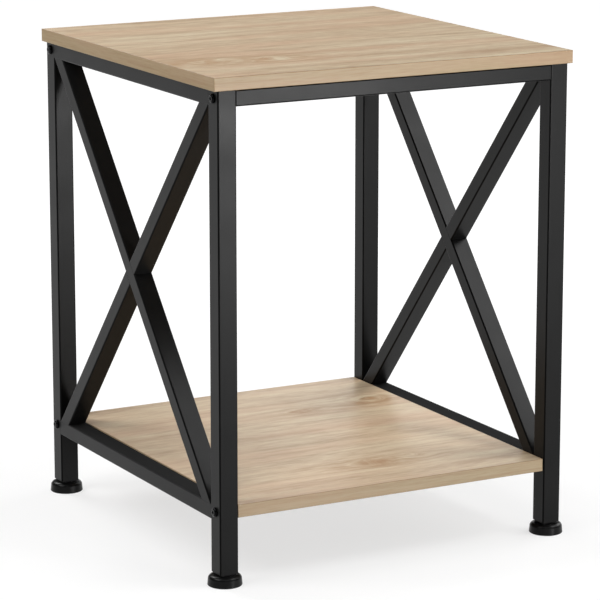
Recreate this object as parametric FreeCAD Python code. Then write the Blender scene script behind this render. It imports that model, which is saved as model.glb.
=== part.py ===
"""End table with a shelf: two welded side frames with X braces, cross rails, two boards and levelling feet.

Millimetres, +Z up. The origin is on the floor below the middle of the top.
The front is at -Y, the side frames stand at -X (left) and +X (right).
"""
import math
import os

import FreeCAD
import Part

# Overall size
TOP_WIDTH = 400.0            # along X
TOP_DEPTH = 400.0            # along Y
TABLE_HEIGHT = 500.0
BOARD_THICKNESS = 13.0       # top and shelf are cut from the same board
BAND_THICKNESS = 0.8         # edge band glued on every edge of both boards
BAND_EDGE_RADIUS = 0.5       # trimmed outer edges of the bands
TOP_OVERHANG_X = 4.5         # top past the legs, left and right
TOP_OVERHANG_Y = 2.0         # top past the legs, front and back

# Steel tube
LEG_SECTION = 20.0           # square leg tube
RAIL_HEIGHT = 16.0           # rails and braces, in the plane of the frame
RAIL_DEPTH = 20.0            # rails and braces, across the frame
TUBE_WALL = 1.2
TUBE_CORNER_RADIUS = 1.5
WELD_FILL = 0.9              # weld, ground flush, that fills the groove at a rounded tube corner
LOWER_RAIL_TOP = 81.0        # height of the lower rails, and of the shelf
LEG_BOTTOM = 12.5            # height of the cut leg ends above the floor

# Shelf
SHELF_SETBACK = 1.5          # behind the faces of the legs, front and back
SHELF_END_GAP = 0.5          # between the shelf's ends and the legs

# Button-head bolts, M5, through the legs
BOLT_DIAMETER = 5.0
BOLT_HEAD_DIAMETER = 9.5
BOLT_HEAD_HEIGHT = 2.75
BOLT_HEAD_RIM = 0.55         # straight edge of the head above its seat
BOLT_CROWN_DIAMETER = 6.0    # flat on top of the head
BOLT_SOCKET = 3.0            # across the flats of the hex socket
BOLT_SOCKET_DEPTH = 1.6
BOLT_HOLE_CLEARANCE = 0.25   # round the bolts, in the legs
THREAD_CLEARANCE = 0.1       # round the threads, in plates, inserts and boards
RAIL_BOLT_GRIP = 8.0         # bolt past the end of a cross rail
SHELF_BOLT_GRIP = 12.0       # bolt past the end of the shelf
END_PLATE_THICKNESS = 5.0    # threaded plate in each end of a cross rail
PLATE_CLEARANCE = 0.05       # between an end plate and the inside of its rail
INSERT_DIAMETER = 8.0        # threaded insert in the ends of the shelf
INSERT_LENGTH = 14.0
INSERT_CLEARANCE = 0.1       # round an insert, in the shelf

# Wood screws that hold the top down, with their heads inside the cross rails
SCREW_DIAMETER = 4.0
SCREW_HEAD_DIAMETER = 8.0
SCREW_HEAD_HEIGHT = 2.4
SCREW_HEAD_CHAMFER = 1.2     # lower edge of the head
SCREW_GRIP = 9.0             # screw inside the top
SCREW_INSET = 60.0           # from the end of a cross rail
SCREW_HOLE_CLEARANCE = 0.3   # round the screws, in the upper wall of the cross rails
SCREW_ACCESS_CLEARANCE = 1.0  # round the heads, in the lower wall, for the screwdriver

# Leg plugs and levelling feet
PLUG_LENGTH = 26.0           # inside the leg
PLUG_FLANGE = 17.6           # square flange below the leg end
PLUG_FLANGE_THICKNESS = 1.5
PLUG_CLEARANCE = 0.1         # between a plug and the inside of its leg
STUD_DIAMETER = 8.0
STUD_LENGTH = 22.0           # above the pad
STUD_HEAD_DIAMETER = 16.0
STUD_HEAD_HEIGHT = 4.0
STUD_TIP_CHAMFER = 0.8
STUD_CLEARANCE = 0.3         # round the stud in the plug, and round its head in the pad
PAD_DIAMETER = 34.5
PAD_RIM_DIAMETER = 33.2
PAD_RIM_HEIGHT = 7.4
PAD_NECK_DIAMETER = 22.0
PAD_FLOOR = 2.0              # plastic below the head of the stud
PAD_EDGE_CHAMFER = 0.6       # lower edge of the pad
PAD_GAP = 0.3                # between the pad and the plug, fully screwed in

# Places worked out from the sizes above
BOARD_UNDERSIDE = TABLE_HEIGHT - BOARD_THICKNESS
FRAME_X = TOP_WIDTH / 2 - TOP_OVERHANG_X         # outer faces of the side frames
FRAME_Y = TOP_DEPTH / 2 - TOP_OVERHANG_Y         # outer faces of the legs, front and back
LEG_X = FRAME_X - LEG_SECTION / 2                # middle of the legs, side rails and braces
LEG_Y = FRAME_Y - LEG_SECTION / 2                # middle of the legs and cross rails
INNER_X = FRAME_X - LEG_SECTION                  # inner faces of the legs
INNER_Y = FRAME_Y - LEG_SECTION
UPPER_RAIL_BOTTOM = BOARD_UNDERSIDE - RAIL_HEIGHT
RAIL_BOLT_HEIGHT = BOARD_UNDERSIDE - RAIL_HEIGHT / 2
SHELF_BOLT_HEIGHT = LOWER_RAIL_TOP - BOARD_THICKNESS / 2
SHELF_HALF_WIDTH = LEG_X - max(LEG_SECTION, RAIL_DEPTH) / 2 - SHELF_END_GAP
SHELF_HALF_DEPTH = FRAME_Y - SHELF_SETBACK
BOLT_HOLE_RADIUS = BOLT_DIAMETER / 2 + BOLT_HOLE_CLEARANCE
PLUG_BOTTOM = LEG_BOTTOM - PLUG_FLANGE_THICKNESS
PAD_TOP = PLUG_BOTTOM - PAD_GAP
OPENING_HEIGHT = UPPER_RAIL_BOTTOM - LOWER_RAIL_TOP
OPENING_MIDDLE = (UPPER_RAIL_BOTTOM + LOWER_RAIL_TOP) / 2
OPENING_DIAGONAL = math.hypot(OPENING_HEIGHT, 2 * INNER_Y)
# A brace runs corner to corner: one edge ends in the upper corner, the other in the lower corner.
BRACE_ANGLE = math.atan2(OPENING_HEIGHT, 2 * INNER_Y) + math.asin(RAIL_HEIGHT / OPENING_DIAGONAL)
LEGS = {"front_left": (-1, -1), "front_right": (1, -1), "rear_left": (-1, 1), "rear_right": (1, 1)}

ORIGIN = FreeCAD.Vector(0, 0, 0)
X_AXIS = FreeCAD.Vector(1, 0, 0)
Y_AXIS = FreeCAD.Vector(0, 1, 0)
Z_AXIS = FreeCAD.Vector(0, 0, 1)


def save(name, shape):
    """Writes one node."""
    shape.exportStep("parts/" + name + ".step")


def box(low, high):
    """A block between two corners."""
    size = [b - a for a, b in zip(low, high)]
    return Part.makeBox(*size, FreeCAD.Vector(*low))


def rod(diameter, length, start, direction):
    """A round bar from a point along a direction."""
    return Part.makeCylinder(diameter / 2, length, FreeCAD.Vector(*start), direction)


def runs_along(edge, axis):
    """Tells whether a straight edge lies along an axis."""
    return abs(edge.tangentAt(edge.FirstParameter).dot(axis)) > 0.99


def rounded_bar(width, height, length, radius):
    """A bar along +X from the origin, with rounded long edges: width along Y, height along Z."""
    bar = Part.makeBox(length, width, height, FreeCAD.Vector(0, -width / 2, -height / 2))
    if radius <= 0:
        return bar
    return bar.makeFillet(radius, [edge for edge in bar.Edges if runs_along(edge, X_AXIS)])


def square_bar(width, height, length):
    """A bar along +X from the origin, with sharp edges."""
    return rounded_bar(width, height, length, 0)


def outside(width, height, length):
    """The outer form of a tube, filled, to cut other tubes to it."""
    return rounded_bar(width, height, length, TUBE_CORNER_RADIUS)


def tube(width, height, length):
    """A rectangular tube along +X from the origin, open at both ends."""
    inner_radius = max(TUBE_CORNER_RADIUS - TUBE_WALL, 0)
    inside = rounded_bar(width - 2 * TUBE_WALL, height - 2 * TUBE_WALL, length, inner_radius)
    return outside(width, height, length).cut(inside)


def leg_stock(make, side, end):
    """Tube or filled form of a leg, in its place."""
    shape = make(LEG_SECTION, LEG_SECTION, BOARD_UNDERSIDE - LEG_BOTTOM)
    shape.rotate(ORIGIN, Y_AXIS, -90)
    shape.translate(FreeCAD.Vector(side * LEG_X, end * LEG_Y, LEG_BOTTOM))
    return shape


def side_rail_stock(make, side, bottom):
    """Tube or filled form of a side rail, in its place, with the weld at both ends."""
    length = 2 * (INNER_Y + WELD_FILL)
    shape = make(RAIL_DEPTH, RAIL_HEIGHT, length)
    shape.rotate(ORIGIN, Z_AXIS, 90)
    shape.translate(FreeCAD.Vector(side * LEG_X, -length / 2, bottom + RAIL_HEIGHT / 2))
    return shape


def brace_stock(make, side, lean, height=RAIL_HEIGHT):
    """Overlong tube or filled form of a brace, in its place. Lean +1 rises towards the back."""
    length = 2 * OPENING_DIAGONAL
    shape = make(RAIL_DEPTH, height, length)
    shape.translate(FreeCAD.Vector(-length / 2, 0, 0))
    shape.rotate(ORIGIN, Z_AXIS, 90)
    shape.rotate(ORIGIN, X_AXIS, lean * math.degrees(BRACE_ANGLE))
    shape.translate(FreeCAD.Vector(side * LEG_X, 0, OPENING_MIDDLE))
    return shape


def leg(side, end):
    """A leg tube, drilled through for its two bolts."""
    shape = leg_stock(tube, side, end)
    for height in (RAIL_BOLT_HEIGHT, SHELF_BOLT_HEIGHT):
        start = (side * LEG_X - LEG_SECTION, end * LEG_Y, height)
        shape = shape.cut(rod(2 * BOLT_HOLE_RADIUS, 2 * LEG_SECTION, start, X_AXIS))
    return shape


def side_rail(side, bottom):
    """A rail of a side frame, between the two legs and cut to their rounded corners."""
    shape = side_rail_stock(tube, side, bottom)
    for end in (-1, 1):
        shape = shape.cut(leg_stock(outside, side, end))
    return shape


def brace(side, lean):
    """A brace tube from corner to corner, cut to the rails and legs that it is welded to."""
    low, high = LOWER_RAIL_TOP - WELD_FILL, UPPER_RAIL_BOTTOM + WELD_FILL
    reach = max(LEG_SECTION, RAIL_DEPTH)
    window = box((side * LEG_X - reach, -TOP_DEPTH, low), (side * LEG_X + reach, TOP_DEPTH, high))
    shape = brace_stock(tube, side, lean).common(window)
    for bottom in (LOWER_RAIL_TOP - RAIL_HEIGHT, UPPER_RAIL_BOTTOM):
        shape = shape.cut(side_rail_stock(outside, side, bottom))
    for end in (-1, 1):
        shape = shape.cut(leg_stock(outside, side, end))
    return shape


def half_braces(side, lean):
    """The brace that the through brace cuts in two: its upper and its lower piece, welded to it."""
    pieces = brace(side, lean).cut(brace_stock(outside, side, -lean))
    pieces = pieces.cut(brace_stock(square_bar, side, -lean, RAIL_HEIGHT - 2 * WELD_FILL))
    return sorted(pieces.Solids, key=lambda solid: -solid.CenterOfMass.z)


def cross_rail(end):
    """A cross rail between the side frames, drilled from below for the screws of the top and their heads."""
    shape = tube(RAIL_DEPTH, RAIL_HEIGHT, 2 * INNER_X)
    shape.translate(FreeCAD.Vector(-INNER_X, end * LEG_Y, RAIL_BOLT_HEIGHT))
    hole = SCREW_DIAMETER + 2 * SCREW_HOLE_CLEARANCE
    access = SCREW_HEAD_DIAMETER + 2 * SCREW_ACCESS_CLEARANCE
    for side in (-1, 1):
        start = (side * (INNER_X - SCREW_INSET), end * LEG_Y, UPPER_RAIL_BOTTOM)
        shape = shape.cut(rod(hole, RAIL_HEIGHT, start, Z_AXIS))
        shape = shape.cut(rod(access, RAIL_HEIGHT / 2, start, Z_AXIS))
    return shape


def cross_rail_end_plates():
    """The threaded plates welded into the ends of the cross rails."""
    plates = []
    gap = TUBE_WALL + PLATE_CLEARANCE
    for side, end in LEGS.values():
        radius = max(TUBE_CORNER_RADIUS - gap, 0)
        plate = rounded_bar(RAIL_DEPTH - 2 * gap, RAIL_HEIGHT - 2 * gap, END_PLATE_THICKNESS, radius)
        thread = BOLT_DIAMETER + 2 * THREAD_CLEARANCE
        plate = plate.cut(rod(thread, END_PLATE_THICKNESS, (0, 0, 0), X_AXIS))
        low_x = INNER_X - END_PLATE_THICKNESS if side > 0 else -INNER_X
        plate.translate(FreeCAD.Vector(low_x, end * LEG_Y, RAIL_BOLT_HEIGHT))
        plates.append(plate)
    return Part.makeCompound(plates)


def hexagon(across_flats, depth):
    """A hexagonal prism along +X from the origin."""
    corner = across_flats / math.sqrt(3)
    turns = [math.radians(60 * i) for i in range(7)]
    points = [FreeCAD.Vector(0, corner * math.cos(a), corner * math.sin(a)) for a in turns]
    return Part.Face(Part.makePolygon(points)).extrude(FreeCAD.Vector(depth, 0, 0))


def button_bolt(grip):
    """A button-head bolt along +X, its head seated at x = 0 and its shank through a leg and the grip."""
    rise, half, flat, rim = BOLT_HEAD_HEIGHT, BOLT_HEAD_DIAMETER / 2, BOLT_CROWN_DIAMETER / 2, BOLT_HEAD_RIM
    bend = math.radians(45)
    middle = FreeCAD.Vector(-rim - (rise - rim) * math.sin(bend), 0, flat + (half - flat) * math.cos(bend))
    outline = [
        Part.makeLine((-rise, 0, 0), (-rise, 0, flat)),
        Part.Arc(FreeCAD.Vector(-rise, 0, flat), middle, FreeCAD.Vector(-rim, 0, half)).toShape(),
        Part.makeLine((-rim, 0, half), (0, 0, half)),
        Part.makeLine((0, 0, half), (0, 0, 0)),
        Part.makeLine((0, 0, 0), (-rise, 0, 0)),
    ]
    head = Part.Face(Part.Wire(outline)).revolve(ORIGIN, X_AXIS, 360)
    socket = hexagon(BOLT_SOCKET, BOLT_SOCKET_DEPTH)
    socket.translate(FreeCAD.Vector(-rise, 0, 0))
    shank = rod(BOLT_DIAMETER, LEG_SECTION + grip, (0, 0, 0), X_AXIS)
    return head.cut(socket).fuse(shank).removeSplitter()


def leg_bolts(height, grip):
    """The four bolts at one height, one through each leg."""
    bolts = []
    for side, end in LEGS.values():
        bolt = button_bolt(grip)
        if side > 0:
            bolt.rotate(ORIGIN, Z_AXIS, 180)
        bolt.translate(FreeCAD.Vector(side * FRAME_X, end * LEG_Y, height))
        bolts.append(bolt)
    return Part.makeCompound(bolts)


def shelf_insert_nuts():
    """The threaded inserts in the ends of the shelf."""
    inserts = []
    for side, end in LEGS.values():
        low_x = SHELF_HALF_WIDTH - INSERT_LENGTH if side > 0 else -SHELF_HALF_WIDTH
        start = (low_x, end * LEG_Y, SHELF_BOLT_HEIGHT)
        sleeve = rod(INSERT_DIAMETER, INSERT_LENGTH, start, X_AXIS)
        thread = rod(BOLT_DIAMETER + 2 * THREAD_CLEARANCE, INSERT_LENGTH, start, X_AXIS)
        inserts.append(sleeve.cut(thread))
    return Part.makeCompound(inserts)


def band(low, high, outward, ends_show):
    """An edge band, the edges of its outer face trimmed round: the long ones, and the ends that show."""
    shape = box(low, high)
    reach = max(vertex.Point.dot(outward) for vertex in shape.Vertexes)
    trimmed = []
    for edge in shape.Edges:
        on_outer_face = edge.CenterOfMass.dot(outward) > reach - BAND_THICKNESS / 4
        if on_outer_face and (ends_show or not runs_along(edge, Z_AXIS)):
            trimmed.append(edge)
    return shape.makeFillet(BAND_EDGE_RADIUS, trimmed)


def bands(half_width, half_depth, bottom):
    """The four edge bands of a board: front and rear run the full width, left and right fit between them."""
    top = bottom + BOARD_THICKNESS
    inner_x, inner_y = half_width - BAND_THICKNESS, half_depth - BAND_THICKNESS
    return {
        "front": band((-half_width, -half_depth, bottom), (half_width, -inner_y, top), -Y_AXIS, True),
        "rear": band((-half_width, inner_y, bottom), (half_width, half_depth, top), Y_AXIS, True),
        "left": band((-half_width, -inner_y, bottom), (-inner_x, inner_y, top), -X_AXIS, False),
        "right": band((inner_x, -inner_y, bottom), (half_width, inner_y, top), X_AXIS, False),
    }


def board(half_width, half_depth, bottom):
    """A board without its bands."""
    inner_x, inner_y = half_width - BAND_THICKNESS, half_depth - BAND_THICKNESS
    return box((-inner_x, -inner_y, bottom), (inner_x, inner_y, bottom + BOARD_THICKNESS))


def table_top():
    """The top, with pilot holes for its screws."""
    shape = board(TOP_WIDTH / 2, TOP_DEPTH / 2, BOARD_UNDERSIDE)
    pilot = SCREW_DIAMETER + 2 * THREAD_CLEARANCE
    for side, end in LEGS.values():
        start = (side * (INNER_X - SCREW_INSET), end * LEG_Y, BOARD_UNDERSIDE)
        shape = shape.cut(rod(pilot, SCREW_GRIP + THREAD_CLEARANCE, start, Z_AXIS))
    return shape


def drill_shelf_ends(shape):
    """Bores the holes of the inserts and bolts into the ends of the shelf."""
    hole = INSERT_DIAMETER + 2 * INSERT_CLEARANCE
    depth = INSERT_LENGTH + INSERT_CLEARANCE
    for side, end in LEGS.values():
        low_x = SHELF_HALF_WIDTH - depth if side > 0 else -SHELF_HALF_WIDTH
        shape = shape.cut(rod(hole, depth, (low_x, end * LEG_Y, SHELF_BOLT_HEIGHT), X_AXIS))
    return shape


def top_screws():
    """The screws from below, through the upper wall of the cross rails into the top."""
    screws = []
    seat_height = BOARD_UNDERSIDE - TUBE_WALL
    length = TUBE_WALL + SCREW_GRIP
    for side, end in LEGS.values():
        seat = FreeCAD.Vector(side * (INNER_X - SCREW_INSET), end * LEG_Y, seat_height)
        head = rod(SCREW_HEAD_DIAMETER, SCREW_HEAD_HEIGHT, seat, -Z_AXIS)
        low = [e for e in head.Edges if e.BoundBox.ZMax < seat_height - SCREW_HEAD_HEIGHT / 2]
        head = head.makeChamfer(SCREW_HEAD_CHAMFER, low)
        screws.append(head.fuse(rod(SCREW_DIAMETER, length, seat, Z_AXIS)).removeSplitter())
    return Part.makeCompound(screws)


def leg_plug(side, end):
    """The plastic plug in a leg's lower end, bored for the stud of the foot."""
    width = LEG_SECTION - 2 * (TUBE_WALL + PLUG_CLEARANCE)
    body = box((-width / 2, -width / 2, LEG_BOTTOM), (width / 2, width / 2, LEG_BOTTOM + PLUG_LENGTH))
    half = PLUG_FLANGE / 2
    flange = box((-half, -half, PLUG_BOTTOM), (half, half, LEG_BOTTOM))
    flange = flange.makeFillet(TUBE_CORNER_RADIUS, [e for e in flange.Edges if runs_along(e, Z_AXIS)])
    bore = rod(STUD_DIAMETER + 2 * STUD_CLEARANCE, 2 * PLUG_LENGTH, (0, 0, PLUG_BOTTOM), Z_AXIS)
    shape = body.fuse(flange).removeSplitter().cut(bore)
    shape.translate(FreeCAD.Vector(side * LEG_X, end * LEG_Y, 0))
    return shape


def foot_stud(side, end):
    """The threaded stud of a foot, with the round head that the pad is moulded round."""
    head_top = PAD_FLOOR + STUD_HEAD_HEIGHT
    head = rod(STUD_HEAD_DIAMETER, STUD_HEAD_HEIGHT, (0, 0, PAD_FLOOR), Z_AXIS)
    shank = rod(STUD_DIAMETER, PAD_TOP - head_top + STUD_LENGTH, (0, 0, head_top), Z_AXIS)
    tip = [e for e in shank.Edges if e.BoundBox.ZMin > PAD_TOP + STUD_LENGTH / 2]
    shank = shank.makeChamfer(STUD_TIP_CHAMFER, tip)
    shape = head.fuse(shank).removeSplitter()
    shape.translate(FreeCAD.Vector(side * LEG_X, end * LEG_Y, 0))
    return shape


def foot_pad(side, end):
    """The flared plastic pad of a foot, with the pocket of the stud's head inside it."""
    foot, rim, neck = PAD_DIAMETER / 2, PAD_RIM_DIAMETER / 2, PAD_NECK_DIAMETER / 2
    rise = PAD_TOP - PAD_RIM_HEIGHT
    bend = math.radians(45)
    shoulder_low = FreeCAD.Vector(rim, 0, PAD_RIM_HEIGHT)
    shoulder = FreeCAD.Vector(neck + (rim - neck) * math.cos(bend), 0, PAD_RIM_HEIGHT + rise * math.sin(bend))
    shoulder_top = FreeCAD.Vector(neck, 0, PAD_TOP)
    outline = [
        Part.makeLine((0, 0, 0), (foot - PAD_EDGE_CHAMFER, 0, 0)),
        Part.makeLine((foot - PAD_EDGE_CHAMFER, 0, 0), (foot, 0, PAD_EDGE_CHAMFER)),
        Part.makeLine((foot, 0, PAD_EDGE_CHAMFER), shoulder_low),
        Part.Arc(shoulder_low, shoulder, shoulder_top).toShape(),
        Part.makeLine(shoulder_top, (0, 0, PAD_TOP)),
        Part.makeLine((0, 0, PAD_TOP), (0, 0, 0)),
    ]
    shape = Part.Face(Part.Wire(outline)).revolve(ORIGIN, Z_AXIS, 360)
    pocket = rod(STUD_HEAD_DIAMETER + 2 * STUD_CLEARANCE, STUD_HEAD_HEIGHT + 2 * STUD_CLEARANCE,
                 (0, 0, PAD_FLOOR - STUD_CLEARANCE), Z_AXIS)
    bore = rod(STUD_DIAMETER + 2 * STUD_CLEARANCE, PAD_TOP, (0, 0, PAD_FLOOR), Z_AXIS)
    shape = shape.cut(pocket).cut(bore)
    shape.translate(FreeCAD.Vector(side * LEG_X, end * LEG_Y, 0))
    return shape


def save_boards():
    """The top and the shelf, each with its four bands."""
    save("table_top", table_top())
    for edge, shape in bands(TOP_WIDTH / 2, TOP_DEPTH / 2, BOARD_UNDERSIDE).items():
        save("top_band_" + edge, shape)
    shelf_bottom = LOWER_RAIL_TOP - BOARD_THICKNESS
    save("shelf_board", drill_shelf_ends(board(SHELF_HALF_WIDTH, SHELF_HALF_DEPTH, shelf_bottom)))
    for edge, shape in bands(SHELF_HALF_WIDTH, SHELF_HALF_DEPTH, shelf_bottom).items():
        save("shelf_band_" + edge, drill_shelf_ends(shape))


def save_side_frames():
    """Both welded side frames, tube by tube."""
    for name, (side, end) in LEGS.items():
        save("leg_" + name, leg(side, end))
    for name, side in (("left", -1), ("right", 1)):
        save("top_rail_" + name, side_rail(side, UPPER_RAIL_BOTTOM))
        save("bottom_rail_" + name, side_rail(side, LOWER_RAIL_TOP - RAIL_HEIGHT))
        save("through_brace_" + name, brace(side, 1))
        upper, lower = half_braces(side, -1)
        save("upper_brace_" + name, upper)
        save("lower_brace_" + name, lower)


def save_cross_rails():
    """The cross rails with their end plates, and every fastener."""
    save("cross_rail_front", cross_rail(-1))
    save("cross_rail_rear", cross_rail(1))
    save("cross_rail_end_plates", cross_rail_end_plates())
    save("cross_rail_bolts", leg_bolts(RAIL_BOLT_HEIGHT, RAIL_BOLT_GRIP))
    save("shelf_bolts", leg_bolts(SHELF_BOLT_HEIGHT, SHELF_BOLT_GRIP))
    save("shelf_insert_nuts", shelf_insert_nuts())
    save("top_screws", top_screws())


def save_feet():
    """The plug, stud and pad of every foot."""
    for name, (side, end) in LEGS.items():
        save("leg_plug_" + name, leg_plug(side, end))
        save("foot_stud_" + name, foot_stud(side, end))
        save("foot_pad_" + name, foot_pad(side, end))


os.makedirs("parts", exist_ok=True)
save_boards()
save_side_frames()
save_cross_rails()
save_feet()
print("brace angle", round(math.degrees(BRACE_ANGLE), 2), "degrees")
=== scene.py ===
# %% [markdown]
# # An end table with a shelf
# Two welded side frames of black steel tube, each braced with an X, carry an oak-look top and an oak-look
# shelf. Four levelling feet screw into the legs. The pieces, sizes and joints come ready in a packed
# frame, in metres, so no piece is fitted by eye here: this lesson gives each surface its finish, cuts the
# threads that show when a foot is screwed out, and sets up a plain white studio.

# %% Load the frame
import math

import bmesh
import bpy
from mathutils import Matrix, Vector


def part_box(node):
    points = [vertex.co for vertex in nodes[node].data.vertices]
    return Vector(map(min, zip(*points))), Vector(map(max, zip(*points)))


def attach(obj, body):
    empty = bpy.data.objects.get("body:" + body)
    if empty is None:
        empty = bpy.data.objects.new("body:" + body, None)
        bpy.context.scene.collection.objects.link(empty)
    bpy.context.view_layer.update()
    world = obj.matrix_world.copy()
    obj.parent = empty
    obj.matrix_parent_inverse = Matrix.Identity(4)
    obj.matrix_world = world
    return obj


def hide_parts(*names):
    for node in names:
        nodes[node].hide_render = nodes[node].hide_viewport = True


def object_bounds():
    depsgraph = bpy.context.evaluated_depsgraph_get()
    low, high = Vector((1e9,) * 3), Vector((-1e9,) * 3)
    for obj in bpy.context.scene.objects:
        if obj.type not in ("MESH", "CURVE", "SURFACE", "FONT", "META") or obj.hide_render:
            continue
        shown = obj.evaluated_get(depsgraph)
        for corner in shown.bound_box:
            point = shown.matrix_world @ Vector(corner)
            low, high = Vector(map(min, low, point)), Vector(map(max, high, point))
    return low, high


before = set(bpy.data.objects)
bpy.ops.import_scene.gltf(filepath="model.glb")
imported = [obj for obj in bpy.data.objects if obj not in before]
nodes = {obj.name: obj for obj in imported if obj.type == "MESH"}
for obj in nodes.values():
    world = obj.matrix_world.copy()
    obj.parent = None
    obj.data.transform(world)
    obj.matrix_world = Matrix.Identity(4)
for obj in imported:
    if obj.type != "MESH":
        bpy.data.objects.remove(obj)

cad_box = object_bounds()
print("loaded", len(nodes), "pieces; box", [round(v, 4) for v in cad_box[1] - cad_box[0]], "m")

# %% [markdown]
# ## Tools for the finishes
# A Blender material is a tree of nodes. Three small helpers keep the trees readable: one turns an sRGB
# hex value, as a colour picker shows it, into the linear light that shaders use; one makes an empty
# material; and one adds a node, sets its values and draws its links in a single call. A value that is
# another node's output becomes a link.

# %% Helpers for the finishes
def linear(hex_colour):
    """Turns an sRGB hex value into a linear RGBA colour."""
    channels = [int(hex_colour[i:i + 2], 16) / 255 for i in (1, 3, 5)]
    return [c / 12.92 if c <= 0.04045 else ((c + 0.055) / 1.055) ** 2.4 for c in channels] + [1.0]


def empty_material(name):
    """A material with an empty node tree, and that tree."""
    material = bpy.data.materials.new(name)
    material.use_nodes = True
    material.node_tree.nodes.clear()
    return material, material.node_tree


def add(tree, kind, inputs=None, **settings):
    """Adds a node with its settings. An input that is another node's output is linked, any other is set."""
    node = tree.nodes.new(kind)
    for name, value in settings.items():
        setattr(node, name, value)
    for name, value in (inputs or {}).items():
        if isinstance(value, bpy.types.NodeSocket):
            tree.links.new(value, node.inputs[name])
        else:
            node.inputs[name].default_value = value
    return node


print("the grey #808080 is", round(linear("#808080")[0], 3), "in linear light")

# %% [markdown]
# ## The lean of the braces
# Each brace runs from corner to corner of the opening in its side frame, and the painted shade on the
# corners of the tubes needs to know how far it leans. The angle could be typed in, but worked out from
# the boxes of the rails and legs it stays right when the table gets another size.

# %% Lean of the braces
def brace_lean():
    """The angle of the braces, which are as wide as a rail is high and cross the opening's corners."""
    rail_low, rail_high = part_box("top_rail_left")
    height = rail_low.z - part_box("bottom_rail_left")[1].z
    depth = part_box("leg_rear_left")[0].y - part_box("leg_front_left")[1].y
    return math.atan2(height, depth) + math.asin((rail_high.z - rail_low.z) / math.hypot(height, depth))


lean = brace_lean()
print("braces lean", round(math.degrees(lean), 2), "degrees")

# %% [markdown]
# ## Black powder coat on the steel tubes
# The tubes are sprayed with a dry powder that melts in an oven. The result is a satin black skin with a
# faint orange peel. Each rounded tube corner gets a fine dark line of painted shade, which stands in for
# the dark surroundings that such a corner mirrors. The peel could be modelled, but a bump from a noise is
# cheaper and looks the same. For the painted shade the surface normal is enough: on a flat face one of its
# parts, along the tube's own axes, is 1, and on a corner none is. The braces lean, so their normals are
# first turned back by the lean of the brace.

# %% Powder coat
MM = 0.001
# The third colour is painted shade for the rounded tube corners, not a colour that the coat has.
COAT_BLACK, COAT_WORN, PAINTED_CORNER_SHADE = "#0e0e0e", "#141414", "#060606"
COAT_ROUGHNESS = (0.32, 0.37)
COAT_GLOSS = 0.12                          # specular level; the peel breaks up most of the mirror
CLOUD_SIZE = 45.0                          # mm, slow change in gloss along a tube
CLOUD_SPAN = (0.3, 0.7)                    # values of that noise, from the glossiest to the dullest
PEEL_SIZE = 2.2                            # mm; real orange peel is half as coarse, and would not show
PEEL_STRENGTH, PEEL_DEPTH = 0.12, 0.1      # depth in mm
CORNER_SHADE_SPAN = (0.992, 0.955)               # cosines away from a flat face: painted shade starts, and is full
CORNER_SHADE_DEPTH = 0.75                        # share of the painted shade's colour
DUST_SPAN = (0.8, 1.0)                     # upward part of the normal, from clean to dusty
DUST_ROUGHNESS = 0.85                      # of faces that look straight up, which fine dust dulls


def painted_corner_shade(tree, normal, lean):
    """Painted shade: 0 on the flat faces of a tube that leans about X, and up to its full depth on the
    rounded corners.
    """
    turned = add(tree, "ShaderNodeVectorRotate", {"Vector": normal, "Angle": -lean}, rotation_type="X_AXIS")
    size = add(tree, "ShaderNodeVectorMath", {0: turned.outputs[0]}, operation="ABSOLUTE")
    part = add(tree, "ShaderNodeSeparateXYZ", {0: size.outputs[0]})
    side = add(tree, "ShaderNodeMath", {0: part.outputs[0], 1: part.outputs[1]}, operation="MAXIMUM")
    flat = add(tree, "ShaderNodeMath", {0: side.outputs[0], 1: part.outputs[2]}, operation="MAXIMUM")
    corner = add(tree, "ShaderNodeMapRange", {"Value": flat.outputs[0], "From Min": CORNER_SHADE_SPAN[0],
                                              "From Max": CORNER_SHADE_SPAN[1], "To Min": 0.0,
                                              "To Max": CORNER_SHADE_DEPTH})
    return corner.outputs[0]


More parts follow.
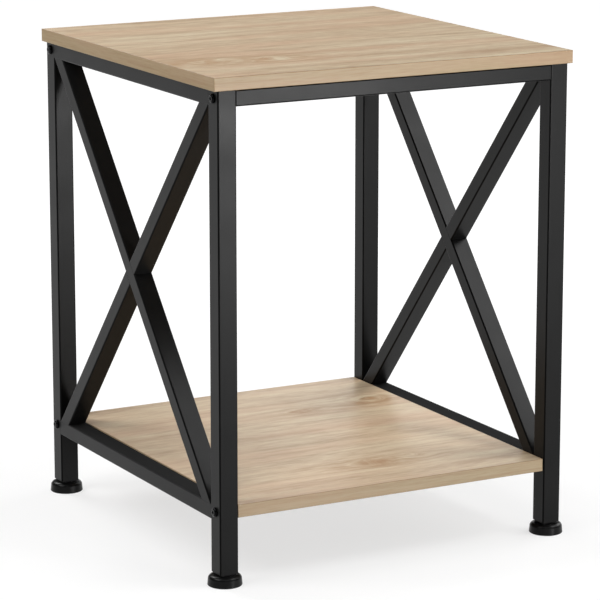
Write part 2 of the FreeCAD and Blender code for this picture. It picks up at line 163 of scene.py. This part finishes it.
def powder_coat(name, lean):
    """Satin black powder coat, with painted shade on the rounded corners, on tubes that lean by an angle
    about X.
    """
    material, tree = empty_material(name)
    place = add(tree, "ShaderNodeTexCoord")
    # corner is the share of painted shade, laid on the rounded corners of the tube.
    corner = painted_corner_shade(tree, place.outputs["Normal"], lean)
    cloud = add(tree, "ShaderNodeTexNoise", {"Vector": place.outputs["Object"], "Detail": 3.0,
                                             "Scale": 1 / (CLOUD_SIZE * MM)})
    coat = add(tree, "ShaderNodeMix", {"Factor": cloud.outputs[0], "A": linear(COAT_BLACK),
                                       "B": linear(COAT_WORN)}, data_type="RGBA")
    colour = add(tree, "ShaderNodeMix", {"Factor": corner, "A": coat.outputs["Result"],
                                         "B": linear(PAINTED_CORNER_SHADE)}, data_type="RGBA")
    rough = add(tree, "ShaderNodeMapRange", {"Value": cloud.outputs[0], "From Min": CLOUD_SPAN[0],
                                             "From Max": CLOUD_SPAN[1], "To Min": COAT_ROUGHNESS[0],
                                             "To Max": COAT_ROUGHNESS[1]})
    up = add(tree, "ShaderNodeSeparateXYZ", {0: place.outputs["Normal"]})
    dust = add(tree, "ShaderNodeMapRange", {"Value": up.outputs[2], "From Min": DUST_SPAN[0],
                                            "From Max": DUST_SPAN[1]})
    rough = add(tree, "ShaderNodeMix", {"Factor": dust.outputs[0], "A": rough.outputs[0],
                                        "B": DUST_ROUGHNESS})
    peel = add(tree, "ShaderNodeTexNoise", {"Vector": place.outputs["Object"], "Detail": 1.0,
                                            "Scale": 1 / (PEEL_SIZE * MM)})
    bump = add(tree, "ShaderNodeBump", {"Height": peel.outputs[0], "Strength": PEEL_STRENGTH,
                                        "Distance": PEEL_DEPTH * MM})
    # A metal as dark as the painted corner shade mirrors almost nothing, so the painted line stays dark
    # under a lamp.
    skin = add(tree, "ShaderNodeBsdfPrincipled", {
        "Base Color": colour.outputs["Result"], "Roughness": rough.outputs[0], "Metallic": corner,
        "Specular IOR Level": COAT_GLOSS, "Normal": bump.outputs[0]})
    add(tree, "ShaderNodeOutputMaterial", {"Surface": skin.outputs[0]})
    return material


print("orange peel of", PEEL_SIZE, "mm and clouds of", CLOUD_SIZE, "mm")

# %% [markdown]
# ## Coating the tubes
# The side frames are coated after welding, and the cross rails with them, so all tubes have the same
# finish. One material would do for that, but the painted shade on the corners depends on the lean. So there
# are three: one for upright and level tubes, one for braces that rise from front to rear and one for those
# that fall.

# %% Coated tubes
def dress(material, *pieces):
    """Gives a material to CAD pieces and says to which."""
    for name in pieces:
        nodes[name].material_slots[0].material = material
    print(material.name, "on", ", ".join(pieces))


sides = ("left", "right")
corners = ("front_left", "front_right", "rear_left", "rear_right")
dress(powder_coat("powder_coat_black", 0.0), *["leg_" + c for c in corners],
      *["top_rail_" + s for s in sides], *["bottom_rail_" + s for s in sides],
      "cross_rail_front", "cross_rail_rear")
dress(powder_coat("powder_coat_black_rising_brace", lean), *["through_brace_" + s for s in sides])
dress(powder_coat("powder_coat_black_falling_brace", -lean),
      *[half + "_brace_" + s for half in ("upper", "lower") for s in sides])

# %% [markdown]
# ## Grain from stretched noise
# The boards are chipboard under a printed melamine film that shows pale oak. A photograph of oak could be
# mapped on, but a pattern made from noise has no seams and carries its real size. Noise that is stretched
# along the grain gives streaks. A slow noise that moves the place across the grain makes the streaks
# wander. Every pattern reads its own slice of the noise, so that no two of them repeat each other.

# %% Stretched noise
DRIFT_SIZE = (250.0, 80.0)                 # mm along and across the grain
DRIFT_REACH = 9.0                          # mm that a line wanders
NOISE_MIDDLE = 0.5


def grain_noise(tree, along, across, size, slice_at, detail):
    """A noise stretched along the grain. Each slice_at gives another part of the noise."""
    long = add(tree, "ShaderNodeMath", {0: along, 1: size[0]}, operation="DIVIDE")
    wide = add(tree, "ShaderNodeMath", {0: across, 1: size[1]}, operation="DIVIDE")
    spot = add(tree, "ShaderNodeCombineXYZ", {"X": long.outputs[0], "Y": wide.outputs[0], "Z": slice_at})
    noise = add(tree, "ShaderNodeTexNoise", {"Vector": spot.outputs[0], "Scale": 1.0, "Detail": detail})
    return noise.outputs[0]


def wander(tree, along, across, size, slice_at, reach, share=1.0):
    """The place across the grain, moved by up to a share of reach to either side."""
    noise = grain_noise(tree, along, across, size, slice_at, detail=1.0)
    off = add(tree, "ShaderNodeMath", {0: noise, 1: NOISE_MIDDLE}, operation="SUBTRACT")
    held = add(tree, "ShaderNodeMath", {0: off.outputs[0], 1: share}, operation="MULTIPLY")
    moved = add(tree, "ShaderNodeMath", {0: held.outputs[0], 1: 2 * reach, 2: across},
                operation="MULTIPLY_ADD")
    return moved.outputs[0]


print("lines of the grain wander", DRIFT_REACH, "mm to either side")

# %% [markdown]
# ## Knots
# Where a branch left the trunk, the grain flows round a knot. A knot could be painted, but the same grain
# bent by a few sums looks grown: near a knot the lines are pushed apart and curl, a sine of the distance
# draws faint rings, and small blotches break up the tone.

# %% Knots
# A knot is its place along and across the grain, its half length and half width, all in mm, and the tone
# that its rings add: more than 0 for pale rings, less for dark ones.
TOP_KNOTS = ((-168.0, -104.0, 50.0, 28.0, 0.03), (-94.0, -110.0, 46.0, 22.0, -0.03))
SHELF_KNOTS = ((140.0, 105.0, 30.0, 24.0, -0.05), (48.0, 90.0, 22.0, 12.0, 0.03),
               (20.0, -128.0, 60.0, 20.0, -0.02))
KNOT_PUSH = 0.75                           # share by which a knot spreads the grain
KNOT_RINGS = 1.6                           # rings in a knot's half width
CURL_SIZE, CURL_SLICE = (30.0, 17.0), 40.0  # mm, curls of the grain beside a knot
CURL_REACH = 15.0                          # mm that a line curls
BURL_SIZE, BURL_SLICE = (13.0, 9.0), 45.0  # mm, blotches in a knot
BURL_TONE = 0.2                            # what they add to the tone


def knot_pull(tree, along, across, knot):
    """How near a point is to a knot, from 0 to 1, the rings round it, and where it pushes the grain to."""
    centre_along, centre_across, length, width, ring_tone = knot
    u = add(tree, "ShaderNodeMath", {0: along, 1: centre_along}, operation="SUBTRACT")
    u = add(tree, "ShaderNodeMath", {0: u.outputs[0], 1: length}, operation="DIVIDE")
    off = add(tree, "ShaderNodeMath", {0: across, 1: centre_across}, operation="SUBTRACT")
    v = add(tree, "ShaderNodeMath", {0: off.outputs[0], 1: width}, operation="DIVIDE")
    u2 = add(tree, "ShaderNodeMath", {0: u.outputs[0], 1: u.outputs[0]}, operation="MULTIPLY")
    d2 = add(tree, "ShaderNodeMath", {0: v.outputs[0], 1: v.outputs[0], 2: u2.outputs[0]},
             operation="MULTIPLY_ADD")
    away = add(tree, "ShaderNodeMath", {0: d2.outputs[0], 1: -1.0}, operation="MULTIPLY")
    near = add(tree, "ShaderNodeMath", {0: math.e, 1: away.outputs[0]}, operation="POWER").outputs[0]
    out = add(tree, "ShaderNodeMath", {0: d2.outputs[0]}, operation="SQRT")
    turn = add(tree, "ShaderNodeMath", {0: out.outputs[0], 1: 2 * math.pi * KNOT_RINGS},
               operation="MULTIPLY")
    ring = add(tree, "ShaderNodeMath", {0: turn.outputs[0]}, operation="SINE")
    faded = add(tree, "ShaderNodeMath", {0: ring.outputs[0], 1: near}, operation="MULTIPLY")
    rings = add(tree, "ShaderNodeMath", {0: faded.outputs[0], 1: ring_tone}, operation="MULTIPLY")
    push = add(tree, "ShaderNodeMath", {0: near, 1: -KNOT_PUSH}, operation="MULTIPLY")
    pushed = add(tree, "ShaderNodeMath", {0: off.outputs[0], 1: push.outputs[0], 2: across},
                 operation="MULTIPLY_ADD")
    return near, rings.outputs[0], pushed.outputs[0]


def round_the_knots(tree, along, across, knots, slice_at):
    """The place across the grain, bent round the knots, how near one is, and the tone that they add."""
    nearest, tone = 0.0, 0.0
    for knot in knots:
        near, rings, across = knot_pull(tree, along, across, knot)
        nearest = add(tree, "ShaderNodeMath", {0: nearest, 1: near}, operation="MAXIMUM").outputs[0]
        tone = add(tree, "ShaderNodeMath", {0: rings, 1: tone}, operation="ADD").outputs[0]
    across = wander(tree, along, across, CURL_SIZE, slice_at + CURL_SLICE, CURL_REACH, nearest)
    burl = grain_noise(tree, along, across, BURL_SIZE, slice_at + BURL_SLICE, detail=2.0)
    burl = add(tree, "ShaderNodeMath", {0: burl, 1: NOISE_MIDDLE}, operation="SUBTRACT")
    burl = add(tree, "ShaderNodeMath", {0: burl.outputs[0], 1: BURL_TONE}, operation="MULTIPLY")
    tone = add(tree, "ShaderNodeMath", {0: burl.outputs[0], 1: nearest, 2: tone}, operation="MULTIPLY_ADD")
    return across, nearest, tone.outputs[0]


print("knots:", len(TOP_KNOTS), "in the top and", len(SHELF_KNOTS), "in the shelf")

# %% [markdown]
# ## Colour of the wood
# Four streak patterns, from broad to hair thin, add up to one tone, and a ramp of three colours turns the
# tone into wood. One streak pattern would be simpler, but real grain is uneven at every scale. A fifth
# pattern turns some broad bands a little pink, and the dark lines near a knot take a warmer brown.

# %% Wood colour
BOARD_STREAKS = ((330.0, 20.0), (95.0, 8.0), (34.0, 4.6), (17.0, 1.8))     # mm along and across the grain
STREAK_WEIGHTS = (0.31, 0.22, 0.25, 0.22)
STREAK_SLICE = 7.0
TONE_SPAN = (0.40, 0.60)                   # from the darkest streak to the palest wood
TONE_MIDDLE = 0.5                          # share of that span where the middle tone lies
OAK_BLUSH, OAK_KNOT = "#c8a184", "#a8835e"
BLUSH_SIZE, BLUSH_SLICE = (260.0, 34.0), 50.0    # mm along and across the grain
BLUSH_SPAN = (0.46, 0.66)                  # values of that noise, from plain to pink
BLUSH_DEPTH = 0.32                         # share of the pink in the pinkest band


def wood_colour(tree, along, across, streaks, tones, slice_at, nearest, tone):
    """Colour of the wood from its streaks, pink bands and knots, without the pores."""
    for layer, (size, weight) in enumerate(zip(streaks, STREAK_WEIGHTS)):
        streak = grain_noise(tree, along, across, size, slice_at + STREAK_SLICE * layer, detail=2.0)
        tone = add(tree, "ShaderNodeMath", {0: streak, 1: weight, 2: tone},
                   operation="MULTIPLY_ADD").outputs[0]
    level = add(tree, "ShaderNodeMapRange", {"Value": tone, "From Min": TONE_SPAN[0],
                                             "From Max": TONE_SPAN[1]})
    ramp = add(tree, "ShaderNodeValToRGB", {"Fac": level.outputs[0]})
    ramp.color_ramp.elements[0].color = linear(tones[0])
    ramp.color_ramp.elements[1].color = linear(tones[2])
    ramp.color_ramp.elements.new(TONE_MIDDLE).color = linear(tones[1])
    blush = grain_noise(tree, along, across, BLUSH_SIZE, slice_at + BLUSH_SLICE, detail=2.0)
    blush = add(tree, "ShaderNodeMapRange", {"Value": blush, "From Min": BLUSH_SPAN[0],
                                             "From Max": BLUSH_SPAN[1], "To Min": 0.0,
                                             "To Max": BLUSH_DEPTH})
    colour = add(tree, "ShaderNodeMix", {"Factor": blush.outputs[0], "A": ramp.outputs[0],
                                         "B": linear(OAK_BLUSH)}, data_type="RGBA").outputs["Result"]
    if nearest is not None:
        dark = add(tree, "ShaderNodeMath", {0: 1.0, 1: level.outputs[0]}, operation="SUBTRACT")
        stain = add(tree, "ShaderNodeMath", {0: nearest, 1: dark.outputs[0]}, operation="MULTIPLY")
        colour = add(tree, "ShaderNodeMix", {"Factor": stain.outputs[0], "A": colour,
                                             "B": linear(OAK_KNOT)}, data_type="RGBA").outputs["Result"]
    return colour


print("streaks from", BOARD_STREAKS[0][1], "down to", BOARD_STREAKS[-1][1], "mm wide")

# %% [markdown]
# ## The printed film
# The film is a semi-gloss melamine skin, pressed against a plate that leaves fine long pores. They are a
# little darker and duller than the rest. Cut into the mesh they would take millions of faces, so a bump
# presses them in. Boards and edge bands share this one function.

# %% Oak print
PORE_SIZE, PORE_SLICE = (11.0, 0.9), 30.0  # mm; real pores are half as wide, and would not show
PORE_SPAN = (0.60, 0.72)                   # values of that noise, from the film to the floor of a pore
PORE_TINT = 0.35                           # share of the streak's colour in a pore
PORE_STRENGTH, PORE_DEPTH = 0.25, 0.05     # depth in mm
CUT_SPAN = (0.25, 0.6)                     # up or down part of a band's normal, from print to trimmed edge
FILM_ROUGHNESS = (0.42, 0.5)               # on the film and in a pore
FILM_GLOSS = 0.45                          # specular level


def oak_print(name, grain, across_axis, streaks, tones, slice_at, knots=(), cut_edge=None):
    """Printed oak with its grain along one axis. Faces that look up or down can show a cut edge instead."""
    material, tree = empty_material(name)
    place = add(tree, "ShaderNodeTexCoord")
    in_mm = add(tree, "ShaderNodeVectorMath", {0: place.outputs["Object"], "Scale": 1 / MM},
                operation="SCALE")
    axes = add(tree, "ShaderNodeSeparateXYZ", {0: in_mm.outputs[0]})
    along, across = axes.outputs[grain], axes.outputs[across_axis]
    reach = DRIFT_REACH * streaks[0][1] / BOARD_STREAKS[0][1]
    across = wander(tree, along, across, DRIFT_SIZE, slice_at, reach)
    nearest, tone = None, 0.0
    if knots:
        across, nearest, tone = round_the_knots(tree, along, across, knots, slice_at)
    colour = wood_colour(tree, along, across, streaks, tones, slice_at, nearest, tone)
    pores = grain_noise(tree, along, across, PORE_SIZE, slice_at + PORE_SLICE, detail=1.0)
    pores = add(tree, "ShaderNodeMapRange", {"Value": pores, "From Min": PORE_SPAN[0],
                                             "From Max": PORE_SPAN[1]})
    faint = add(tree, "ShaderNodeMath", {0: pores.outputs[0], 1: PORE_TINT}, operation="MULTIPLY")
    colour = add(tree, "ShaderNodeMix", {"Factor": faint.outputs[0], "A": colour, "B": linear(tones[0])},
                 data_type="RGBA").outputs["Result"]
    if cut_edge:
        facing = add(tree, "ShaderNodeSeparateXYZ", {0: place.outputs["Normal"]})
        steep = add(tree, "ShaderNodeMath", {0: facing.outputs[2]}, operation="ABSOLUTE")
        cut = add(tree, "ShaderNodeMapRange", {"Value": steep.outputs[0], "From Min": CUT_SPAN[0],
                                               "From Max": CUT_SPAN[1]})
        colour = add(tree, "ShaderNodeMix", {"Factor": cut.outputs[0], "A": colour, "B": linear(cut_edge)},
                     data_type="RGBA").outputs["Result"]
    rough = add(tree, "ShaderNodeMapRange", {"Value": pores.outputs[0], "To Min": FILM_ROUGHNESS[0],
                                             "To Max": FILM_ROUGHNESS[1]})
    bump = add(tree, "ShaderNodeBump", {"Height": pores.outputs[0], "Strength": PORE_STRENGTH,
                                        "Distance": -PORE_DEPTH * MM})
    skin = add(tree, "ShaderNodeBsdfPrincipled", {
        "Base Color": colour, "Roughness": rough.outputs[0], "Specular IOR Level": FILM_GLOSS,
        "Normal": bump.outputs[0]})
    add(tree, "ShaderNodeOutputMaterial", {"Surface": skin.outputs[0]})
    return material


print("pores", PORE_SIZE[0], "mm long and", PORE_SIZE[1], "mm wide")

# %% [markdown]
# ## The two boards
# The top and the shelf are cut from two prints of the same kind. The shelf's colours are painted a little
# paler, as painted light that makes up for the shade under the top. Each has its own knots, and its own
# slice of the noise.

# %% Boards
# Each set of tones holds the streak, the middle and the pale wood.
# The shelf's set is paler than the top's: painted light for the shelf in the top's shade.
BOARD_TONES_SHELF_PAINTED_PALER = {"top": ("#a18669", "#b9a386", "#c8ba9e"), "shelf": ("#b0967a", "#c4ae91", "#cfbfa2")}
TOP_SLICE, SHELF_SLICE = 3.0, 61.0

dress(oak_print("oak_print_melamine_top", "X", "Y", BOARD_STREAKS, BOARD_TONES_SHELF_PAINTED_PALER["top"], TOP_SLICE,
                TOP_KNOTS), "table_top")
dress(oak_print("oak_print_melamine_shelf_painted_paler", "X", "Y", BOARD_STREAKS, BOARD_TONES_SHELF_PAINTED_PALER["shelf"], SHELF_SLICE,
                SHELF_KNOTS), "shelf_board")

# %% [markdown]
# ## Edge bands
# The edges carry a glued band of the same print, with finer streaks that run along the edge. The band's
# trimmed edge shows as a fine darker line round the board. That line could be a piece of its own, but the
# rounded edge of the band is already there, so the material colours the faces that look up or down.

# %% Edge bands
# The shelf's band tones are paler than the top's: painted light for the band in the top's shade.
BAND_TONES_SHELF_PAINTED_PALER = {"top": ("#a5865e", "#ac926a", "#b19972"), "shelf": ("#a88e6f", "#af9a7a", "#b5a284")}
BAND_CUT = "#8f7350"                       # trimmed edge of a band
BAND_STREAKS = ((260.0, 7.0), (80.0, 2.6), (32.0, 2.0), (17.0, 0.9))       # mm along and across the grain
BAND_SLICES = {"top": 120.0, "shelf": 180.0}
DEPTH_BAND_SLICE = 20.0                    # added for the bands along the depth

for board in ("top", "shelf"):
    dress(oak_print("oak_print_edge_band_" + board + "_width", "X", "Z", BAND_STREAKS, BAND_TONES_SHELF_PAINTED_PALER[board],
                    BAND_SLICES[board], cut_edge=BAND_CUT),
          board + "_band_front", board + "_band_rear")
    dress(oak_print("oak_print_edge_band_" + board + "_depth", "Y", "Z", BAND_STREAKS, BAND_TONES_SHELF_PAINTED_PALER[board],
                    BAND_SLICES[board] + DEPTH_BAND_SLICE, cut_edge=BAND_CUT),
          board + "_band_left", board + "_band_right")

# %% [markdown]
# ## Blackened bolts, zinc-plated steel and moulded plastic
# The bolts are steel with a black oxide skin: still a metal, but dark, with small sharp highlights on the
# domed heads. The hidden screws, inserts and studs are zinc plated, which is bright and slightly blue
# with a cloudy crystal pattern. The pads and plugs are black polypropylene, moulded in a spark-eroded
# tool that leaves a fine grain. All three are one shader with a noise for the wear and one for the grain,
# so one function makes them.

# %% Small parts
WEAR_GRAINS = 6                            # a cloud of wear is this many grains wide
WEAR_SPAN = (0.35, 0.65)                   # values of that noise, from fresh to worn
GRAIN_STRENGTH = 0.2


def clouded(name, colours, metallic, gloss, roughness, grain_size, grain_depth):
    """A surface that drifts between two colours and two roughnesses, with a fine grain, in mm."""
    material, tree = empty_material(name)
    place = add(tree, "ShaderNodeTexCoord")
    cloud = add(tree, "ShaderNodeTexNoise", {"Vector": place.outputs["Object"], "Detail": 4.0,
                                             "Scale": 1 / (WEAR_GRAINS * grain_size * MM)})
    grain = add(tree, "ShaderNodeTexNoise", {"Vector": place.outputs["Object"], "Detail": 2.0,
                                             "Scale": 1 / (grain_size * MM)})
    level = add(tree, "ShaderNodeMapRange", {"Value": cloud.outputs[0], "From Min": WEAR_SPAN[0],
                                             "From Max": WEAR_SPAN[1]})
    colour = add(tree, "ShaderNodeMix", {"Factor": level.outputs[0], "A": linear(colours[0]),
                                         "B": linear(colours[1])}, data_type="RGBA")
    rough = add(tree, "ShaderNodeMapRange", {"Value": level.outputs[0], "To Min": roughness[0],
                                             "To Max": roughness[1]})
    bump = add(tree, "ShaderNodeBump", {"Height": grain.outputs[0], "Strength": GRAIN_STRENGTH,
                                        "Distance": grain_depth * MM})
    skin = add(tree, "ShaderNodeBsdfPrincipled", {
        "Base Color": colour.outputs["Result"], "Metallic": metallic, "Roughness": rough.outputs[0],
        "Specular IOR Level": gloss, "Normal": bump.outputs[0]})
    add(tree, "ShaderNodeOutputMaterial", {"Surface": skin.outputs[0]})
    return material


black_oxide = clouded("black_oxide_steel", ("#0a0a0b", "#1d1d1e"), metallic=1.0, gloss=0.5,
                      roughness=(0.2, 0.3), grain_size=1.2, grain_depth=0.05)
zinc = clouded("zinc_plated_steel", ("#c9ccd0", "#a3a8ad"), metallic=1.0, gloss=0.5,
               roughness=(0.25, 0.4), grain_size=2.5, grain_depth=0.03)
plastic = clouded("moulded_polypropylene_black", ("#080808", "#0f0f0f"), metallic=0.0, gloss=0.13,
                  roughness=(0.28, 0.36), grain_size=0.9, grain_depth=0.08)
dress(black_oxide, "cross_rail_bolts", "shelf_bolts")
dress(zinc, "cross_rail_end_plates", "shelf_insert_nuts", "top_screws",
      *["foot_stud_" + c for c in corners])
dress(plastic, *["leg_plug_" + c for c in corners], *["foot_pad_" + c for c in corners])

# %% [markdown]
# ## Turned pieces
# A stud is turned on a lathe and cut with a thread, and the studio floor is a round sheet. Both are rows
# of points round an upright axis, joined by faces. A screw modifier could turn a profile, but here a row
# may have another radius on each side, which a thread needs.

# %% Turned pieces
SIDES = 40


def turned_rows(name, middle, rows, material, open_below=False):
    """An object turned about an upright axis. Each row, lowest first, is a radius and a height per side."""
    mesh = bmesh.new()
    rings = []
    for row in rows:
        ring = []
        for i, (radius, z) in enumerate(row):
            turn = 2 * math.pi * i / SIDES
            x, y = middle.x + radius * math.cos(turn), middle.y + radius * math.sin(turn)
            ring.append(mesh.verts.new((x, y, z)))
        rings.append(ring)
    for lower, upper in zip(rings, rings[1:]):
        for i in range(SIDES):
            j = (i + 1) % SIDES
            mesh.faces.new((lower[i], lower[j], upper[j], upper[i]))
    if not open_below:
        mesh.faces.new(reversed(rings[0]))
    mesh.faces.new(rings[-1])
    data = bpy.data.meshes.new(name)
    mesh.to_mesh(data)
    mesh.free()
    data.materials.append(material)
    piece = bpy.data.objects.new(name, data)
    bpy.context.scene.collection.objects.link(piece)
    return piece


print("turned pieces have", SIDES, "sides")

# %% [markdown]
# ## The threaded studs of the feet
# Each foot is a plastic pad on a steel stud that screws into the leg, so a thread shows when a foot is
# screwed out. The frame holds plain studs. A thread could be swept along a helix, but a simple way is a
# turned bar whose radius rises and falls along its length, with the wave shifted by one pitch for each
# turn round it.

# %% Threaded studs
STUD_RADIUS = 4.0 * MM
THREAD_DEPTH = 0.65 * MM
THREAD_PITCH = 1.25 * MM                   # one turn of the foot lifts the table by this much
THREAD_STEEPNESS = 1.25                    # above 1, the crests come out flat
HEAD_THICKNESS = 4.0 * MM
STUD_TIP = 0.8 * MM
ROWS_PER_PITCH = 8


def thread_radius(height, turn):
    """Radius of the thread at a height and a share of a turn."""
    wave = abs(2 * ((height / THREAD_PITCH - turn) % 1.0) - 1)
    return STUD_RADIUS - THREAD_DEPTH * (1 - min(THREAD_STEEPNESS * wave, 1.0))


def threaded_stud(corner):
    """A stud with a round head and a thread, in the place of the frame's plain one."""
    low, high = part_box("foot_stud_" + corner)
    middle = (low + high) / 2
    head = (high.x - low.x) / 2
    neck = low.z + HEAD_THICKNESS
    rows = [[(head, low.z)] * SIDES, [(head, neck)] * SIDES]
    count = int((high.z - neck) / THREAD_PITCH * ROWS_PER_PITCH)
    for step in range(count + 1):
        z = neck + (high.z - neck) * step / count
        tip = STUD_RADIUS - max(0.0, z - (high.z - STUD_TIP))
        rows.append([(min(thread_radius(z - neck, i / SIDES), tip), z) for i in range(SIDES)])
    stud = turned_rows("threaded_stud_" + corner, middle, rows, zinc)
    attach(stud, "foot_stud_" + corner)
    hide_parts("foot_stud_" + corner)
    return stud


for corner in corners:
    stud = threaded_stud(corner)
    print(stud.name, len(stud.data.polygons), "faces")

# %% [markdown]
# ## A white floor
# The photograph shows the table on plain white. A world of white light would do that too, but it would
# also shine into every black tube and turn it grey. So the floor is a real grey sheet, which bounces
# light up and keeps the table's shadow, and for the viewer and for reflections it also glows, more so
# away from the table, until it comes out white. The weaker glow near the table is painted shade, which
# the tubes mirror as a darker floor. Far out it sweeps up, as a roll of paper does in a studio, so that
# no horizon shows.

# %% Floor
FLOOR_FLAT, FLOOR_EDGE = 6.0, 20.0         # m from the table: the sweep starts, and the sheet ends
FLOOR_RISE = 2.7                           # m, height of the sheet's edge
SWEEP_ROWS = 12
FLOOR_GREY, GLOW_WHITE = "#969696", "#ffffff"
GLOW_NEAR_PAINTED_SHADE, GLOW_FAR = 0.68, 0.95           # seen added: at the table, dimmed as painted shade, and away from it
GLOW_REACH = (0.35, 3.0)                   # m from the middle of the table


def seen_or_reflected(tree):
    """1 for rays that the viewer sees straight on, mirrored or through glass, and 0 for light rays."""
    path = add(tree, "ShaderNodeLightPath")
    seen = add(tree, "ShaderNodeMath", {0: path.outputs["Is Camera Ray"], 1: path.outputs["Is Glossy Ray"]},
               operation="MAXIMUM")
    return add(tree, "ShaderNodeMath", {0: seen.outputs[0], 1: path.outputs["Is Transmission Ray"]},
               operation="MAXIMUM").outputs[0]


def glowing_paper():
    """Grey paper that also glows for the viewer and in reflections, less near the table as painted shade.
    """
    material, tree = empty_material("white_paper_floor")
    paper = add(tree, "ShaderNodeBsdfDiffuse", {"Color": linear(FLOOR_GREY)})
    place = add(tree, "ShaderNodeTexCoord")
    away = add(tree, "ShaderNodeVectorMath", {0: place.outputs["Object"]}, operation="LENGTH")
    # The glow dims towards the table: painted shade round the table, which the tubes mirror.
    level = add(tree, "ShaderNodeMapRange", {"Value": away.outputs["Value"], "From Min": GLOW_REACH[0],
                                             "From Max": GLOW_REACH[1], "To Min": GLOW_NEAR_PAINTED_SHADE,
                                             "To Max": GLOW_FAR})
    glow = add(tree, "ShaderNodeEmission", {"Color": linear(GLOW_WHITE), "Strength": level.outputs[0]})
    bright = add(tree, "ShaderNodeAddShader", {0: paper.outputs[0], 1: glow.outputs[0]})
    mixed = add(tree, "ShaderNodeMixShader", {0: seen_or_reflected(tree), 1: paper.outputs[0],
                                              2: bright.outputs[0]})
    add(tree, "ShaderNodeOutputMaterial", {"Surface": mixed.outputs[0]})
    return material


def white_floor():
    """A large round sheet at the height of the feet, flat near the table and swept up at its edge."""
    rows = []
    for step in range(SWEEP_ROWS + 1):
        share = 1 - step / SWEEP_ROWS
        radius = FLOOR_FLAT + (FLOOR_EDGE - FLOOR_FLAT) * share
        rows.append([(radius, cad_box[0].z + FLOOR_RISE * share ** 2)] * SIDES)
    floor = turned_rows("floor", Vector(), rows, glowing_paper(), open_below=True)


white_floor()
print("floor at", round(cad_box[0].z, 4), "m, flat for", FLOOR_FLAT, "m round the table")

# %% [markdown]
# ## A faint sky
# In a studio the walls send a little light back from all round. A world with a plain colour does the
# same. It stays faint, so that the upper faces of the tubes stay dark.

# %% Sky
SKY_WHITE = "#ffffff"
SKY_LEVEL = 0.08                           # where 1 renders a colour as it is written


def grey_sky():
    """Faint light from all round."""
    world = bpy.data.worlds.new("grey_sky")
    world.use_nodes = True
    tree = world.node_tree
    tree.nodes.clear()
    light = add(tree, "ShaderNodeBackground", {"Color": linear(SKY_WHITE), "Strength": SKY_LEVEL})
    add(tree, "ShaderNodeOutputWorld", {"Surface": light.outputs[0]})
    bpy.context.scene.world = world


grey_sky()
bpy.context.scene.view_settings.view_transform = "Standard"
print("sky level", SKY_LEVEL)

# %% [markdown]
# ## Softboxes
# A studio lights a table like this with a few large soft lamps. The front, left, right and back left ones
# light the boards, and come in low enough to reach the shelf under the top. The low front one is small:
# the satin legs and the front rail mirror it, brightest near its mirror point, so they fade downwards and
# to the right. The slanting upper faces of the right braces mirror the high right one. On the left braces
# the top stands in its way, so the same faces stay black but for their lower ends. The low back one is
# weak and skims the boards: the shelf's semi-gloss film mirrors it, and the rear leg stands in its way,
# which draws the brown slanting band on the shelf.

# %% Softboxes
# Name, azimuth and elevation in degrees, distance, width and height in m, and level.
SOFTBOXES = (
    ("front_softbox", -15.0, 45.0, 2.3, 1.4, 1.1, 0.13),
    ("low_front_softbox", 20.5, 0.0, 2.3, 0.45, 0.45, 0.47),
    ("left_softbox", -90.0, 45.0, 2.3, 1.2, 1.1, 0.48),
    ("right_softbox", 100.0, 28.0, 2.6, 1.8, 1.4, 0.5),
    ("back_left_softbox", -166.0, 40.0, 2.6, 1.2, 1.0, 0.5),
    ("high_right_softbox", 56.0, 52.0, 5.0, 1.7, 1.5, 0.37),
    ("low_back_softbox", 147.0, 5.0, 1.6, 0.6, 0.35, 0.048),
)
table_middle = (cad_box[0] + cad_box[1]) / 2


def out_from_table(azimuth, elevation):
    """Direction from the table, in degrees. Azimuth 0 is the front, at -Y, and 90 is the right, at +X."""
    a, e = math.radians(azimuth), math.radians(elevation)
    return Vector((math.sin(a) * math.cos(e), -math.cos(a) * math.cos(e), math.sin(e)))


def softbox(name, azimuth, elevation, distance, width, height, level):
    """A soft lamp aimed at the table. At level 1 a surface that faces it renders in its own colour."""
    lamp = bpy.data.lights.new(name, "AREA")
    lamp.shape = "RECTANGLE"
    lamp.size, lamp.size_y = width, height
    lamp.energy = level * (math.pi * distance) ** 2
    box = bpy.data.objects.new(name, lamp)
    towards = out_from_table(azimuth, elevation)
    box.location = table_middle + towards * distance
    box.rotation_euler = towards.to_track_quat("Z", "Y").to_euler()
    box.visible_camera = False
    bpy.context.scene.collection.objects.link(box)
    print(name, "at", [round(v, 2) for v in box.location], "m,", round(lamp.energy, 1), "W")


for row in SOFTBOXES:
    softbox(*row)

# %% [markdown]
# ## The camera
# The photograph looks at the front left corner from a little above, through a long lens. The angles,
# distance and lens were fitted to the edges of the boards and legs in the photograph, for a camera
# without any shift.

# %% Camera
CAMERA_AZIMUTH = -28.39                    # degrees from the front, towards the left
CAMERA_ELEVATION = 12.61                   # degrees
CAMERA_DISTANCE = 3.197                    # m from the point that it looks at
CAMERA_TARGET = Vector((0.002, 0.005, 0.226))    # m
CAMERA_LENS, SENSOR_WIDTH = 184.2, 36.0    # mm

view = bpy.data.cameras.new("camera")
view.lens = CAMERA_LENS
view.sensor_width = SENSOR_WIDTH
camera = bpy.data.objects.new("camera", view)
back = out_from_table(CAMERA_AZIMUTH, CAMERA_ELEVATION)
camera.location = CAMERA_TARGET + back * CAMERA_DISTANCE
camera.rotation_euler = back.to_track_quat("Z", "Y").to_euler()
bpy.context.scene.collection.objects.link(camera)
bpy.context.scene.camera = camera
print("camera at", [round(v, 3) for v in camera.location], "m")
